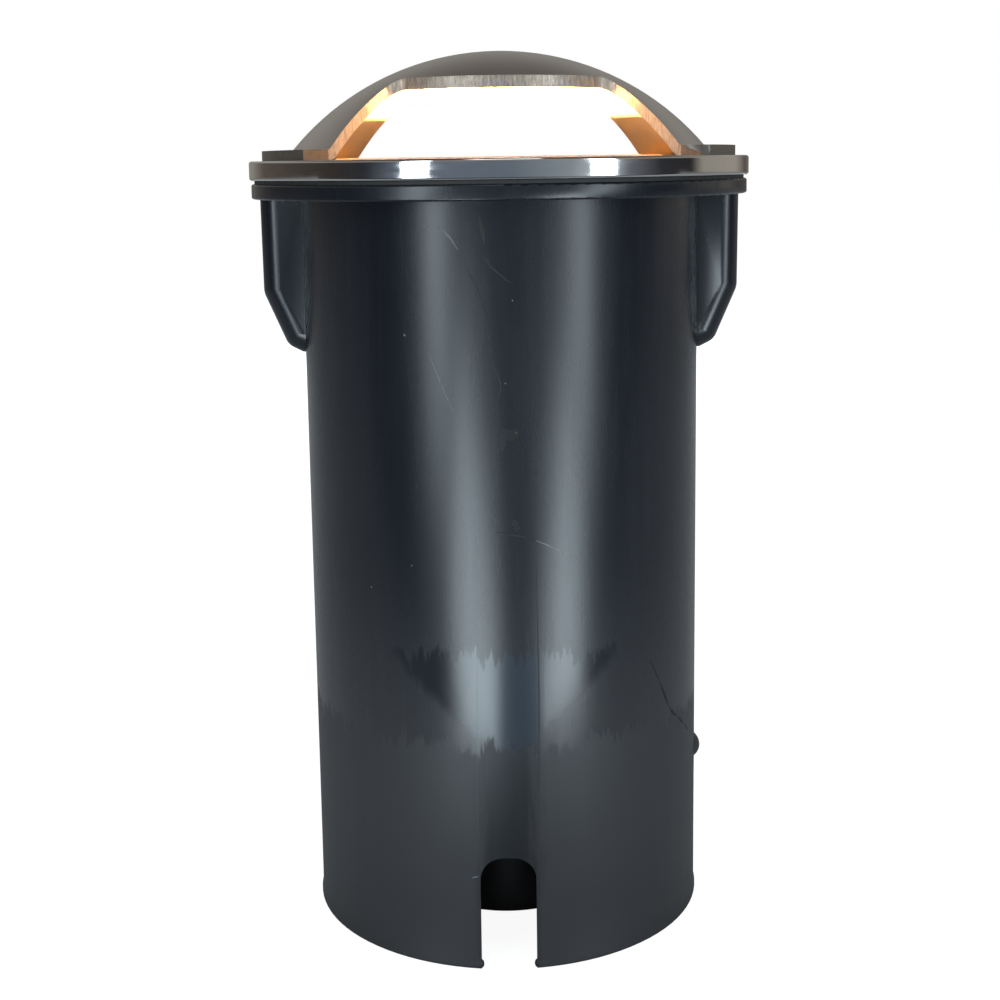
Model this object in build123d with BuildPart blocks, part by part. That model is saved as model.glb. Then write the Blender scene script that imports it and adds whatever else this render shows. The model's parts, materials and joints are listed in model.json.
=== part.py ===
"""In-ground well light: a moulded sleeve that stays in the soil and the lamp that drops into it.

Millimetres, +Z up. The origin is the centre of the sleeve's bottom edge, the cable slot faces -Y
and the two screw bosses lie on the X axis. From the ground up:
    the sleeve, open below, with its screw bosses, brass inserts and flange gasket;
    the lamp, a pot with its stepped lens under a polished ring, a wiring base and a driver tube;
    the domed cover plate, open to the front and the back, held by one screw over each boss.
"""
from build123d import *
from math import cos, radians, sin, sqrt, tan
import os

os.makedirs("parts", exist_ok=True)

# ---------------------------------------------------------------- driving dimensions
# ground sleeve
sleeve_height = 169.8
tube_base_r = 45.0            # outside, at the bottom edge
tube_draft = 0.2              # degrees; the tube opens upward
tube_wall = 2.5
foot_bead = 0.4               # raised bead left round the bottom edge
foot_bead_height = 0.9
flange_edge = 1.9             # width of the flange outside the bosses
flange_thickness = 3.3
flange_round = 0.5
boss_edge = 4.2               # from a screw's axis to the boss's outer face, under the flange
boss_toe_inset = 5.5          # how far in from there its slanted face ends
boss_draft = 0.6              # degrees, on the outer face
boss_straight = 21.5          # length of the outer face below the flange
boss_slant = 12.2             # height of the slanted face
boss_half_width = 8.5
boss_round = 4.5
boss_toe_round = 3.4
slot_width = 12.1
slot_height = 25.5
slot_corner = 5.0
nick_proud = 1.0              # scuffed-up nick low on the right side of the tube
nick_radius = 3.4
nick_height = 35.6
nick_offset = 5.6             # its centre, forward of the X axis

# screws that hold cover, lamp and sleeve together
screw_offset = 5.5            # from the tube's outside to the screws' axes
screw_r = 1.5
screw_head_r = 2.9
screw_socket_af = 2.0
screw_socket_depth = 1.1
screw_tip = 0.3               # chamfer on the thread's end
cover_screw_length = 16.0
ring_screw_length = 4.0
ring_screw_angles = (65.0, 115.0, 245.0, 295.0)
insert_r = 2.3
insert_length = 8.0
insert_sink = 0.3
insert_groove = 0.35
insert_groove_width = 2.0

# polished ring, lens and gaskets
gasket_thickness = 0.8
gasket_inset = 0.7            # from the flange's edge
ring_overhang = 0.4           # past the flange's edge
ring_height = 4.3
ring_land = 0.3               # metal left in the ring's plate under a screw's head
ring_skirt = 2.0
ring_edge_round = 0.6
lens_proud = 0.4
lens_step = 1.8               # width of the step held under the ring
lens_step_thickness = 6.4
lens_edge_round = 0.8
lens_gasket_wall = 0.8

# lamp housing
pot_wall = 1.9                # round the lens gasket
pot_depth = 34.6              # from the top of the sleeve's gasket to the light chamber's floor
pot_floor = 24.0              # thickness of the finned floor
fin_count = 4
fin_gap = 3.2
fin_thickness = 2.2
fin_root_r = 29.0
chamber_wall = 6.0
baffle_ledge = 1.8            # width of the ledge that carries the baffle plate
baffle_ledge_drop = 3.2       # below the lens seat
baffle_thickness = 1.5

# light source and reflector
pad_thickness = 0.5
led_board_size = 19.0
led_board_thickness = 1.2
emitter_r = 6.0
emitter_thickness = 0.6
holder_r = 17.0
holder_height = 4.5
holder_opening_r = 7.6
holder_screw_pitch_r = 13.2
holder_screw_grip = 3.0       # length of thread in the pot's floor
lead_r = 0.9
reflector_mouth_r = 19.4
reflector_throat_r = 8.6
reflector_sheet = 0.8
reflector_rim = 2.6
reflector_swell = 1.2         # how far the cup bulges from a straight cone

# wiring base and driver tube
base_height = 18.0
base_inset = 0.4              # from the pot's side
base_chamfer = 1.0
base_wall = 3.4
base_floor = 4.0
base_pillar_r = 4.2
base_pillar_merge = 1.5       # how far a pillar runs into the wall
base_screw_r = 1.5
base_screw_head_r = 2.75
base_screw_head_height = 3.0
base_screw_socket_af = 2.5
base_screw_socket_depth = 1.6
base_screw_angles = (45.0, 135.0, 225.0, 315.0)
base_screw_grip = 8.0         # length of thread in the pot
base_screw_sink = 4.0         # depth of a head's counterbore
base_screw_spare = 1.0        # tapped past the screw's end
canister_wall = 2.0
canister_end_z = 1.7          # underside of its cap, just above the ground
canister_neck_step = 3.1
canister_neck_wall = 2.4
canister_neck_top = 1.0       # above the base's floor
canister_shoulder = 3.0       # wall under the base, outside the seal
canister_neck_root = 2.0      # height over which the wall runs into the neck
cap_disc = 2.0
cap_chamfer = 0.5
cap_spigot = 8.0
cap_spigot_wall = 2.5
cap_recess = 1.0              # floor left inside the spigot, above the disc
oring_section_r = 0.9
groove_side_gap = 0.1         # beside a seal in its groove
driver_board_edge = 3.0       # from the board's edge to the tube's inside
driver_board_length = 66.0
driver_board_thickness = 1.6
driver_board_gap = 3.0        # above the cap's spigot
# round parts on the board: side, inset from its edge, height above its end, radius, length
driver_cans = ((-1, 9.0, 12.0, 5.0, 11.0), (1, 9.0, 14.0, 4.0, 9.0), (1, 9.0, 27.0, 4.0, 9.0))
choke = (-1, 10.0, 32.0, 7.0, 6.0)
choke_hole_r = 2.6
bridge = (14.0, 4.0, 9.0, 48.0)           # width, depth, height, height above the board's end
terminal_block = (15.0, 8.0, 9.0, 58.0)

# cable gland
gland_tube_gap = 1.0          # between its hexagon and the driver tube
gland_wall_gap = 0.6          # between its locknut and the base's wall
gland_thread_r = 5.9
gland_hex_af = 15.0
gland_collar = 3.0
gland_washer = 1.0
gland_body_drop = 7.0
gland_body_wall = 1.3         # round the rubber seal
gland_passage_gap = 0.75      # round the cable past the seal
gland_nut_length = 9.0
gland_nut_lip = 2.5           # below the body's end
gland_nut_chamfer = 1.2
gland_nut_mouth = 0.5         # clearance round the cable
gland_locknut = 3.0
gland_thread_end = 1.0        # thread seen past the locknut
cable_r = 3.25

# domed cover
cover_thickness = 2.25
dome_rise = 21.95             # top of the dome above the lug's upper face
dome_foot_gap = 0.45          # between a screw's head and the dome's foot
lug_edge = 0.6                # outside a screw's head
foot_round = 0.7
brow_front_r = 28.1           # reach of the brow over the front window, seen from above
brow_back_r = 30.4
shoulder_x = 22.6             # where a brow meets the leg, seen from above
shoulder_front_y = 16.6
shoulder_back_y = 20.1
leg_slope_front = 0.84        # the leg's edge runs away from the shoulder at this slope
leg_slope_back = 0.75
shoulder_round = 3.0
front_window_turn = 3.0       # degrees that the front window sits round from the bosses

# fits
thread_gap = 0.02             # screws and pressed inserts in their own holes
slide_gap = 0.05              # a cover screw running in its insert
screw_clearance = 0.25
part_gap = 0.1
lens_gap = 0.1
ring_lens_gap = 0.3

# ---------------------------------------------------------------- radii worked out
screw_circle_r = tube_base_r + screw_offset
boss_reach = screw_circle_r + boss_edge
boss_toe_reach = boss_reach - boss_toe_inset
flange_r = boss_reach + flange_edge
gasket_r = flange_r - gasket_inset
ring_r = flange_r + ring_overhang
housing_flange_r = ring_r - ring_skirt - part_gap
pot_r = tube_base_r - tube_wall - part_gap
recess_r = pot_r - pot_wall
lens_step_r = recess_r - lens_gasket_wall - lens_gap
lens_r = lens_step_r - lens_step          # face seen in the ring's opening
ring_opening_r = lens_r + ring_lens_gap
chamber_r = pot_r - chamber_wall
baffle_r = chamber_r + baffle_ledge
base_r = pot_r - base_inset
base_screw_circle_r = base_r - base_wall - base_pillar_r + base_pillar_merge
canister_r = base_r - base_wall - gland_wall_gap - gland_hex_af - gland_tube_gap
gland_y = -(canister_r + gland_tube_gap + gland_hex_af / 2)
canister_neck_r = canister_r - canister_neck_step
driver_board_width = 2 * (canister_r - canister_wall - driver_board_edge)
lead_room_r = min(holder_r, canister_neck_r - canister_neck_wall)
lead_pitch_r = (led_board_size / 2 + lead_room_r) / 2
lug_r = screw_circle_r + screw_head_r + lug_edge
dome_foot_r = screw_circle_r - screw_head_r - dome_foot_gap
dome_r = (dome_foot_r ** 2 + dome_rise ** 2) / (2 * dome_rise)

# ---------------------------------------------------------------- heights worked out
flange_underside = sleeve_height - flange_thickness
unit_z = sleeve_height + gasket_thickness
pot_floor_z = unit_z - pot_depth
pot_base_z = pot_floor_z - pot_floor
ring_plate = screw_head_r - screw_r + ring_land
ring_top = unit_z + ring_height
housing_flange_top = ring_top - ring_plate
lens_step_top = housing_flange_top - lens_gasket_wall
lens_bottom = lens_step_top - lens_step_thickness
lens_seat = lens_bottom - lens_gasket_wall
lens_top = ring_top + lens_proud
baffle_seat = lens_seat - baffle_ledge_drop
board_z = pot_floor_z + pad_thickness
emitter_z = board_z + led_board_thickness
holder_top = pot_floor_z + holder_height
base_bottom = pot_base_z - base_height
canister_bottom = canister_end_z + cap_disc
driver_board_z = canister_bottom + cap_spigot + driver_board_gap
cover_underside = ring_top
cover_top = cover_underside + cover_thickness
dome_centre_z = cover_top + dome_rise - dome_r


def tube_r(z):
    """Outside radius of the drafted tube at height z."""
    return tube_base_r + z * tan(radians(tube_draft))


def around(radius, angle):
    """Point on a circle about the axis."""
    return (radius * cos(radians(angle)), radius * sin(radians(angle)))


def countersunk_screw(top_z, length, at, name):
    """Flat-headed socket screw, head flush at top_z, standing at a point of the plan."""
    with BuildPart() as screw:
        with BuildSketch(Plane.XZ):
            with BuildLine():
                Polyline(
                    (0, top_z - length), (screw_r - screw_tip, top_z - length),
                    (screw_r, top_z - length + screw_tip),
                    (screw_r, top_z - screw_head_r + screw_r), (screw_head_r, top_z), (0, top_z),
                    close=True)
            make_face()
        revolve(axis=Axis.Z)
        with BuildSketch(Plane.XY.offset(top_z)):
            RegularPolygon(screw_socket_af / 2, 6, major_radius=False)
        extrude(amount=-screw_socket_depth, mode=Mode.SUBTRACT)
    solid = screw.part.moved(Location((*at, 0)))
    solid.label = name
    return solid


def write(shape, name):
    """Name a finished piece and write it."""
    shape.label = name
    export_step(shape, f"parts/{name}.step")


# ---------------------------------------------------------------- ground sleeve
# One boss, drawn from the side. Its inner end stops inside the tube's wall.
boss_root = tube_base_r - tube_wall / 2 + 0.2
boss_knee_z = flange_underside - boss_straight
boss_toe_z = boss_knee_z - boss_slant
boss_knee_reach = boss_reach - boss_straight * tan(radians(boss_draft))
boss_tip_z = boss_toe_z - boss_toe_round / 2
with BuildPart() as boss:
    with BuildSketch(Plane.XZ) as boss_side:
        with BuildLine():
            Polyline(
                (boss_root, flange_underside + flange_thickness / 2),
                (boss_reach, flange_underside + flange_thickness / 2),
                (boss_reach, flange_underside), (boss_knee_reach, boss_knee_z),
                (boss_toe_reach, boss_toe_z), (boss_toe_reach - boss_toe_round, boss_tip_z),
                (boss_root, boss_tip_z), close=True)
        make_face()
        fillet(boss_side.vertices().sort_by_distance((boss_knee_reach, boss_knee_z))[0], radius=boss_round)
        fillet(boss_side.vertices().sort_by_distance((boss_toe_reach, boss_toe_z))[0], radius=boss_toe_round)
    extrude(amount=boss_half_width, both=True)
    side_edges = boss.faces().filter_by(Axis.Y).edges()
    outer_edges = side_edges.filter_by(lambda e: e.center().X > boss_root + 0.5
                                       and e.center().Z < flange_underside + flange_thickness / 2 - 0.1)
    fillet(outer_edges, radius=boss_round)

with BuildPart() as ground_sleeve:
    # tube, bead and flange in one turned profile
    with BuildSketch(Plane.XZ):
        with BuildLine():
            Polyline(
                (tube_r(0) - tube_wall, 0), (tube_r(0), 0), (tube_r(0) + foot_bead, foot_bead_height / 3),
                (tube_r(0) + foot_bead, foot_bead_height), (tube_r(0) + foot_bead / 4, 2 * foot_bead_height),
                (tube_r(flange_underside), flange_underside), (flange_r, flange_underside),
                (flange_r, sleeve_height), (tube_r(sleeve_height) - tube_wall, sleeve_height), close=True)
        make_face()
    revolve(axis=Axis.Z)
    rim_edges = ground_sleeve.edges().filter_by(GeomType.CIRCLE).filter_by(
        lambda e: abs(e.radius - flange_r) < 0.01)
    fillet(rim_edges, radius=flange_round)
    # a boss on each side
    add(boss.part)
    add(boss.part.mirror(Plane.YZ))
    # nick low on the right side
    with Locations((tube_r(nick_height) + nick_proud - nick_radius, -nick_offset, nick_height)):
        Sphere(nick_radius)
    with Locations((0, 0, nick_height)):
        Cylinder(tube_r(0) - tube_wall + 0.1, 4 * nick_radius, mode=Mode.SUBTRACT)
    # cable slot through the front wall
    with BuildSketch(Plane.XZ.offset(tube_base_r / 2)) as slot:
        with Locations((0, slot_height / 2 - 1)):
            Rectangle(slot_width, slot_height + 2)
        fillet(slot.vertices().group_by(Axis.Y)[-1], radius=slot_corner)
    extrude(amount=tube_base_r, mode=Mode.SUBTRACT)
    # bores for the inserts, with room for the screw's end below
    with Locations((screw_circle_r, 0, sleeve_height), (-screw_circle_r, 0, sleeve_height)):
        CounterBoreHole(
            radius=screw_r + screw_clearance, counter_bore_radius=insert_r + thread_gap,
            counter_bore_depth=insert_sink + insert_length, depth=cover_screw_length + insert_sink)
write(ground_sleeve.part, "ground_sleeve")

# ---------------------------------------------------------------- threaded inserts, one in each boss
insert_top = sleeve_height - insert_sink
insert_mid = insert_top - insert_length / 2
with BuildPart() as insert:
    with BuildSketch(Plane.XZ):
        with BuildLine():
            Polyline(
                (screw_r + slide_gap, insert_top - insert_length), (insert_r, insert_top - insert_length),
                (insert_r, insert_mid - insert_groove_width / 2),
                (insert_r - insert_groove, insert_mid - insert_groove_width / 2),
                (insert_r - insert_groove, insert_mid + insert_groove_width / 2),
                (insert_r, insert_mid + insert_groove_width / 2),
                (insert_r, insert_top), (screw_r + slide_gap, insert_top), close=True)
        make_face()
    revolve(axis=Axis.Z)
write(Compound([insert.part.moved(Location((x, 0, 0))) for x in (-screw_circle_r, screw_circle_r)]),
      "threaded_inserts")

# ---------------------------------------------------------------- flange gasket
with BuildPart() as sleeve_gasket:
    with BuildSketch(Plane.XY.offset(sleeve_height)):
        Circle(gasket_r)
        Circle(tube_r(sleeve_height), mode=Mode.SUBTRACT)
        with Locations((screw_circle_r, 0), (-screw_circle_r, 0)):
            Circle(screw_r + screw_clearance, mode=Mode.SUBTRACT)
    extrude(amount=gasket_thickness)
write(sleeve_gasket.part, "sleeve_gasket")

# ---------------------------------------------------------------- lamp housing
# A turned pot: flange, lens recess, baffle ledge, light chamber and a finned floor.
fin_pitch = fin_gap + fin_thickness
fin_top = pot_base_z + fin_count * fin_pitch
pot_outline = [
    (0, pot_floor_z), (chamber_r, pot_floor_z), (chamber_r, baffle_seat),
    (baffle_r + part_gap, baffle_seat), (baffle_r + part_gap, lens_seat), (recess_r, lens_seat),
    (recess_r, housing_flange_top), (housing_flange_r, housing_flange_top), (housing_flange_r, unit_z),
    (pot_r, unit_z)]
for fin in range(fin_count):
    groove_top = fin_top - fin * fin_pitch
    pot_outline += [
        (pot_r, groove_top), (fin_root_r, groove_top),
        (fin_root_r, groove_top - fin_gap), (pot_r, groove_top - fin_gap)]
pot_outline += [(pot_r, pot_base_z), (0, pot_base_z)]
with BuildPart() as lamp_housing:
    with BuildSketch(Plane.XZ):
        with BuildLine():
            Polyline(*pot_outline, close=True)
        make_face()
    revolve(axis=Axis.Z)
    # holes for the cover screws and the ring screws in the flange
    with Locations((screw_circle_r, 0, housing_flange_top), (-screw_circle_r, 0, housing_flange_top)):
        Hole(screw_r + screw_clearance, depth=ring_height)
    with Locations(*[(*around(screw_circle_r, a), housing_flange_top) for a in ring_screw_angles]):
        Hole(screw_r + thread_gap, depth=ring_height)
    # two lead holes, two holder screws and the base screws from below
    with Locations((lead_pitch_r, 0, pot_floor_z), (-lead_pitch_r, 0, pot_floor_z)):
        Hole(lead_r + screw_clearance, depth=pot_floor_z - pot_base_z)
    with Locations((0, holder_screw_pitch_r, pot_floor_z), (0, -holder_screw_pitch_r, pot_floor_z)):
        Hole(screw_r + thread_gap, depth=holder_height)
    with Locations(*[Location((*around(base_screw_circle_r, a), pot_base_z), (180, 0, 0))
                     for a in base_screw_angles]):
        Hole(base_screw_r + thread_gap, depth=base_screw_grip + base_screw_spare)
write(lamp_housing.part, "lamp_housing")

# ---------------------------------------------------------------- polished ring
with BuildPart() as bezel_ring:
    with BuildSketch(Plane.XZ) as ring_section:
        with BuildLine():
            Polyline(
                (ring_opening_r, housing_flange_top), (housing_flange_r + part_gap, housing_flange_top),
                (housing_flange_r + part_gap, unit_z), (ring_r, unit_z), (ring_r, ring_top),
                (ring_opening_r, ring_top), close=True)
        make_face()
        fillet(ring_section.vertices().group_by(Axis.X)[-1], radius=ring_edge_round)
        chamfer(ring_section.vertices().sort_by_distance((ring_opening_r, ring_top))[0],
                length=ring_edge_round)
    revolve(axis=Axis.Z)
    with Locations((screw_circle_r, 0, ring_top), (-screw_circle_r, 0, ring_top)):
        Hole(screw_r + screw_clearance, depth=ring_plate)
    with Locations(*[(*around(screw_circle_r, a), ring_top) for a in ring_screw_angles]):
        CounterSinkHole(radius=screw_r + screw_clearance, counter_sink_radius=screw_head_r + part_gap,
                        depth=ring_plate, counter_sink_angle=90)
write(bezel_ring.part, "bezel_ring")

write(Compound([countersunk_screw(ring_top, ring_screw_length, around(screw_circle_r, a), "ring_screw")
                for a in ring_screw_angles]), "ring_screws")

# ---------------------------------------------------------------- stepped lens and its channel gasket
with BuildPart() as lens:
    with BuildSketch(Plane.XZ) as lens_section:
        with BuildLine():
            Polyline(
                (0, lens_bottom), (lens_step_r, lens_bottom), (lens_step_r, lens_step_top),
                (lens_r, lens_step_top), (lens_r, lens_top), (0, lens_top), close=True)
        make_face()
        fillet(lens_section.vertices().sort_by_distance((lens_r, lens_top))[0], radius=lens_edge_round)
    revolve(axis=Axis.Z)
write(lens.part, "lens")

with BuildPart() as lens_gasket:
    with BuildSketch(Plane.XZ):
        with BuildLine():
            Polyline(
                (lens_step_r - lens_step, lens_seat), (lens_step_r + lens_gasket_wall, lens_seat),
                (lens_step_r + lens_gasket_wall, housing_flange_top),
                (lens_r + lens_gap, housing_flange_top), (lens_r + lens_gap, lens_step_top),
                (lens_step_r, lens_step_top), (lens_step_r, lens_bottom),
                (lens_step_r - lens_step, lens_bottom), close=True)
        make_face()
    revolve(axis=Axis.Z)
write(lens_gasket.part, "lens_gasket")

# ---------------------------------------------------------------- baffle plate and reflector
reflector_top = baffle_seat + baffle_thickness + reflector_sheet
with BuildPart() as baffle_plate:
    with BuildSketch(Plane.XY.offset(baffle_seat)):
        Circle(baffle_r)
        Circle(reflector_mouth_r + reflector_sheet + part_gap, mode=Mode.SUBTRACT)
    extrude(amount=baffle_thickness)
write(baffle_plate.part, "baffle_plate")

reflector_foot = holder_top + part_gap
reflector_rim_z = reflector_top - reflector_sheet
cup_mid_r = (reflector_throat_r + reflector_mouth_r) / 2 + reflector_swell
cup_mid_z = (reflector_foot + reflector_rim_z) / 2 - reflector_swell
with BuildPart() as reflector:
    with BuildSketch(Plane.XZ):
        with BuildLine():
            cup = ThreePointArc(
                (reflector_throat_r, reflector_foot),
                (cup_mid_r, cup_mid_z),
                (reflector_mouth_r, reflector_rim_z))
            Polyline(
                cup @ 1, (reflector_mouth_r, reflector_top),
                (reflector_mouth_r + reflector_sheet + reflector_rim, reflector_top),
                (reflector_mouth_r + reflector_sheet + reflector_rim, reflector_rim_z),
                (reflector_mouth_r + reflector_sheet, reflector_rim_z))
            ThreePointArc(
                (reflector_mouth_r + reflector_sheet, reflector_rim_z),
                (cup_mid_r + reflector_sheet, cup_mid_z - reflector_sheet / 4),
                (reflector_throat_r + reflector_sheet, reflector_foot))
            Line((reflector_throat_r + reflector_sheet, reflector_foot), cup @ 0)
        make_face()
    revolve(axis=Axis.Z)
write(reflector.part, "reflector")

# ---------------------------------------------------------------- light source
with BuildPart() as thermal_pad:
    with Locations((0, 0, pot_floor_z)):
        Box(led_board_size, led_board_size, pad_thickness, align=(Align.CENTER, Align.CENTER, Align.MIN))
write(thermal_pad.part, "thermal_pad")

with BuildPart() as led_board:
    with Locations((0, 0, board_z)):
        Box(led_board_size, led_board_size, led_board_thickness,
            align=(Align.CENTER, Align.CENTER, Align.MIN))
write(led_board.part, "led_board")

with BuildPart() as led_emitter:
    with BuildSketch(Plane.XY.offset(emitter_z)):
        Circle(emitter_r)
    extrude(amount=emitter_thickness)
write(led_emitter.part, "led_emitter")

with BuildPart() as led_holder:
    with BuildSketch(Plane.XY.offset(pot_floor_z)):
        Circle(holder_r)
    extrude(amount=holder_height)
    with BuildSketch(Plane.XY.offset(pot_floor_z)):
        Rectangle(led_board_size + 2 * part_gap, led_board_size + 2 * part_gap)
    extrude(amount=emitter_z - pot_floor_z, mode=Mode.SUBTRACT)
    with BuildSketch(Plane.XY.offset(pot_floor_z)):
        Circle(holder_opening_r)
    extrude(amount=holder_height, mode=Mode.SUBTRACT)
    with Locations((lead_pitch_r, 0, holder_top), (-lead_pitch_r, 0, holder_top)):
        Hole(lead_r + screw_clearance, depth=holder_height)
    with Locations((0, holder_screw_pitch_r, holder_top), (0, -holder_screw_pitch_r, holder_top)):
        CounterSinkHole(radius=screw_r + screw_clearance, counter_sink_radius=screw_head_r + part_gap,
                        depth=holder_height, counter_sink_angle=90)
write(led_holder.part, "led_holder")

write(Compound([countersunk_screw(holder_top, holder_height + holder_screw_grip, (0, y), "holder_screw")
                for y in (holder_screw_pitch_r, -holder_screw_pitch_r)]), "holder_screws")

# two leads run straight down from the holder to the driver board
driver_board_top = driver_board_z + driver_board_length
with BuildPart() as led_leads:
    with BuildSketch(Plane.XY.offset(driver_board_top)):
        with Locations((lead_pitch_r, 0), (-lead_pitch_r, 0)):
            Circle(lead_r)
    extrude(amount=holder_top - driver_board_top)
write(led_leads.part, "led_leads")

# ---------------------------------------------------------------- wiring base under the pot
seal_circle_r = base_r - base_wall / 2
with BuildPart() as wiring_base:
    with BuildSketch(Plane.XY.offset(base_bottom)):
        Circle(base_r)
    extrude(amount=base_height)
    chamfer(wiring_base.edges().group_by(Axis.Z)[0], length=base_chamfer)
    with BuildSketch(Plane.XY.offset(base_bottom + base_floor)):
        Circle(base_r - base_wall)
        with Locations(*[around(base_screw_circle_r, a) for a in base_screw_angles]):
            Circle(base_pillar_r, mode=Mode.SUBTRACT)
    extrude(amount=base_height - base_floor, mode=Mode.SUBTRACT)
    # face groove for the seal
    with BuildSketch(Plane.XY.offset(pot_base_z)):
        Circle(seal_circle_r + oring_section_r + groove_side_gap)
        Circle(seal_circle_r - oring_section_r - groove_side_gap, mode=Mode.SUBTRACT)
    extrude(amount=-2 * oring_section_r, mode=Mode.SUBTRACT)
    # neck of the driver tube, cable gland, and the four screws with sunk heads
    with Locations((0, 0, base_bottom + base_floor)):
        Hole(canister_neck_r + part_gap, depth=base_floor)
    with Locations((0, gland_y, base_bottom + base_floor)):
        Hole(gland_thread_r + part_gap, depth=base_floor)
    with Locations(*[Location((*around(base_screw_circle_r, a), base_bottom), (180, 0, 0))
                     for a in base_screw_angles]):
        CounterBoreHole(
            radius=base_screw_r + screw_clearance, counter_bore_radius=base_screw_head_r + screw_clearance,
            counter_bore_depth=base_screw_sink, depth=base_height)
write(wiring_base.part, "wiring_base")

with BuildPart() as base_seal:
    with BuildSketch(Plane.XZ):
        with Locations((seal_circle_r, pot_base_z - oring_section_r)):
            Circle(oring_section_r)
    revolve(axis=Axis.Z)
write(base_seal.part, "base_seal")

head_seat = base_bottom + base_screw_sink
socket_top = head_seat - base_screw_head_height + base_screw_socket_depth
with BuildPart() as base_screw:
    with BuildSketch(Plane.XY.offset(head_seat - base_screw_head_height)):
        Circle(base_screw_head_r)
        RegularPolygon(base_screw_socket_af / 2, 6, major_radius=False, mode=Mode.SUBTRACT)
    extrude(amount=base_screw_socket_depth)
    with BuildSketch(Plane.XY.offset(socket_top)):
        Circle(base_screw_head_r)
    extrude(amount=head_seat - socket_top)
    with BuildSketch(Plane.XY.offset(head_seat)):
        Circle(base_screw_r)
    extrude(amount=pot_base_z + base_screw_grip - head_seat)
write(Compound([base_screw.part.moved(Location((*around(base_screw_circle_r, a), 0)))
                for a in base_screw_angles]), "base_screws")

# ---------------------------------------------------------------- driver tube and what it holds
canister_seal_r = (canister_neck_r + canister_r) / 2
neck_top_z = base_bottom + base_floor + canister_neck_top
shoulder_z = base_bottom - canister_shoulder
with BuildPart() as driver_tube:
    with BuildSketch(Plane.XZ):
        with BuildLine():
            Polyline(
                (canister_r - canister_wall, canister_bottom), (canister_r, canister_bottom),
                (canister_r, base_bottom), (canister_neck_r, base_bottom),
                (canister_neck_r, neck_top_z), (canister_neck_r - canister_neck_wall, neck_top_z),
                (canister_neck_r - canister_neck_wall, shoulder_z),
                (canister_r - canister_wall, shoulder_z - canister_neck_root), close=True)
        make_face()
    revolve(axis=Axis.Z)
    with BuildSketch(Plane.XY.offset(base_bottom)):
        Circle(canister_seal_r + oring_section_r / 2 + groove_side_gap)
        Circle(canister_seal_r - oring_section_r / 2 - groove_side_gap, mode=Mode.SUBTRACT)
    extrude(amount=-oring_section_r, mode=Mode.SUBTRACT)
write(driver_tube.part, "driver_tube")

with BuildPart() as tube_seal:
    with BuildSketch(Plane.XZ):
        with Locations((canister_seal_r, base_bottom - oring_section_r / 2)):
            Circle(oring_section_r / 2)
    revolve(axis=Axis.Z)
write(tube_seal.part, "tube_seal")

cap_spigot_r = canister_r - canister_wall - part_gap
cap_groove_z = canister_bottom + cap_spigot / 2
cap_groove_r = canister_r - canister_wall - 2 * oring_section_r
cap_groove_half = oring_section_r + groove_side_gap
with BuildPart() as tube_cap:
    with BuildSketch(Plane.XZ) as cap_section:
        with BuildLine():
            Polyline(
                (0, canister_end_z), (canister_r, canister_end_z), (canister_r, canister_bottom),
                (cap_spigot_r, canister_bottom), (cap_spigot_r, cap_groove_z - cap_groove_half),
                (cap_groove_r, cap_groove_z - cap_groove_half),
                (cap_groove_r, cap_groove_z + cap_groove_half),
                (cap_spigot_r, cap_groove_z + cap_groove_half),
                (cap_spigot_r, canister_bottom + cap_spigot),
                (cap_spigot_r - cap_spigot_wall, canister_bottom + cap_spigot),
                (cap_spigot_r - cap_spigot_wall, canister_bottom + cap_recess),
                (0, canister_bottom + cap_recess), close=True)
        make_face()
        chamfer(cap_section.vertices().sort_by_distance((canister_r, canister_end_z))[0],
                length=cap_chamfer)
    revolve(axis=Axis.Z)
write(tube_cap.part, "tube_cap")

with BuildPart() as cap_seal:
    with BuildSketch(Plane.XZ):
        with Locations((canister_r - canister_wall - oring_section_r, cap_groove_z)):
            Circle(oring_section_r)
    revolve(axis=Axis.Z)
write(cap_seal.part, "cap_seal")

with BuildPart() as driver_board:
    with Locations((0, 0, driver_board_z)):
        Box(driver_board_width, driver_board_thickness, driver_board_length,
            align=(Align.CENTER, Align.CENTER, Align.MIN))
write(driver_board.part, "driver_board")

# capacitors, choke and bridge stand on the board's front face, the terminal block on its back
board_face = driver_board_thickness / 2
with BuildPart() as driver_components:
    for side, inset, z, radius, length in driver_cans:
        with BuildSketch(Plane.XZ.offset(board_face)):
            with Locations((side * (driver_board_width / 2 - inset), driver_board_z + z)):
                Circle(radius)
        extrude(amount=length)
    with BuildSketch(Plane.XZ.offset(board_face)):
        with Locations((choke[0] * (driver_board_width / 2 - choke[1]), driver_board_z + choke[2])):
            Circle(choke[3])
            Circle(choke_hole_r, mode=Mode.SUBTRACT)
    extrude(amount=choke[4])
    with Locations((0, -board_face, driver_board_z + bridge[3])):
        Box(*bridge[:3], align=(Align.CENTER, Align.MAX, Align.CENTER))
    with Locations((0, board_face, driver_board_z + terminal_block[3])):
        Box(*terminal_block[:3], align=(Align.CENTER, Align.MIN, Align.CENTER))
write(driver_components.part, "driver_components")

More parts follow.
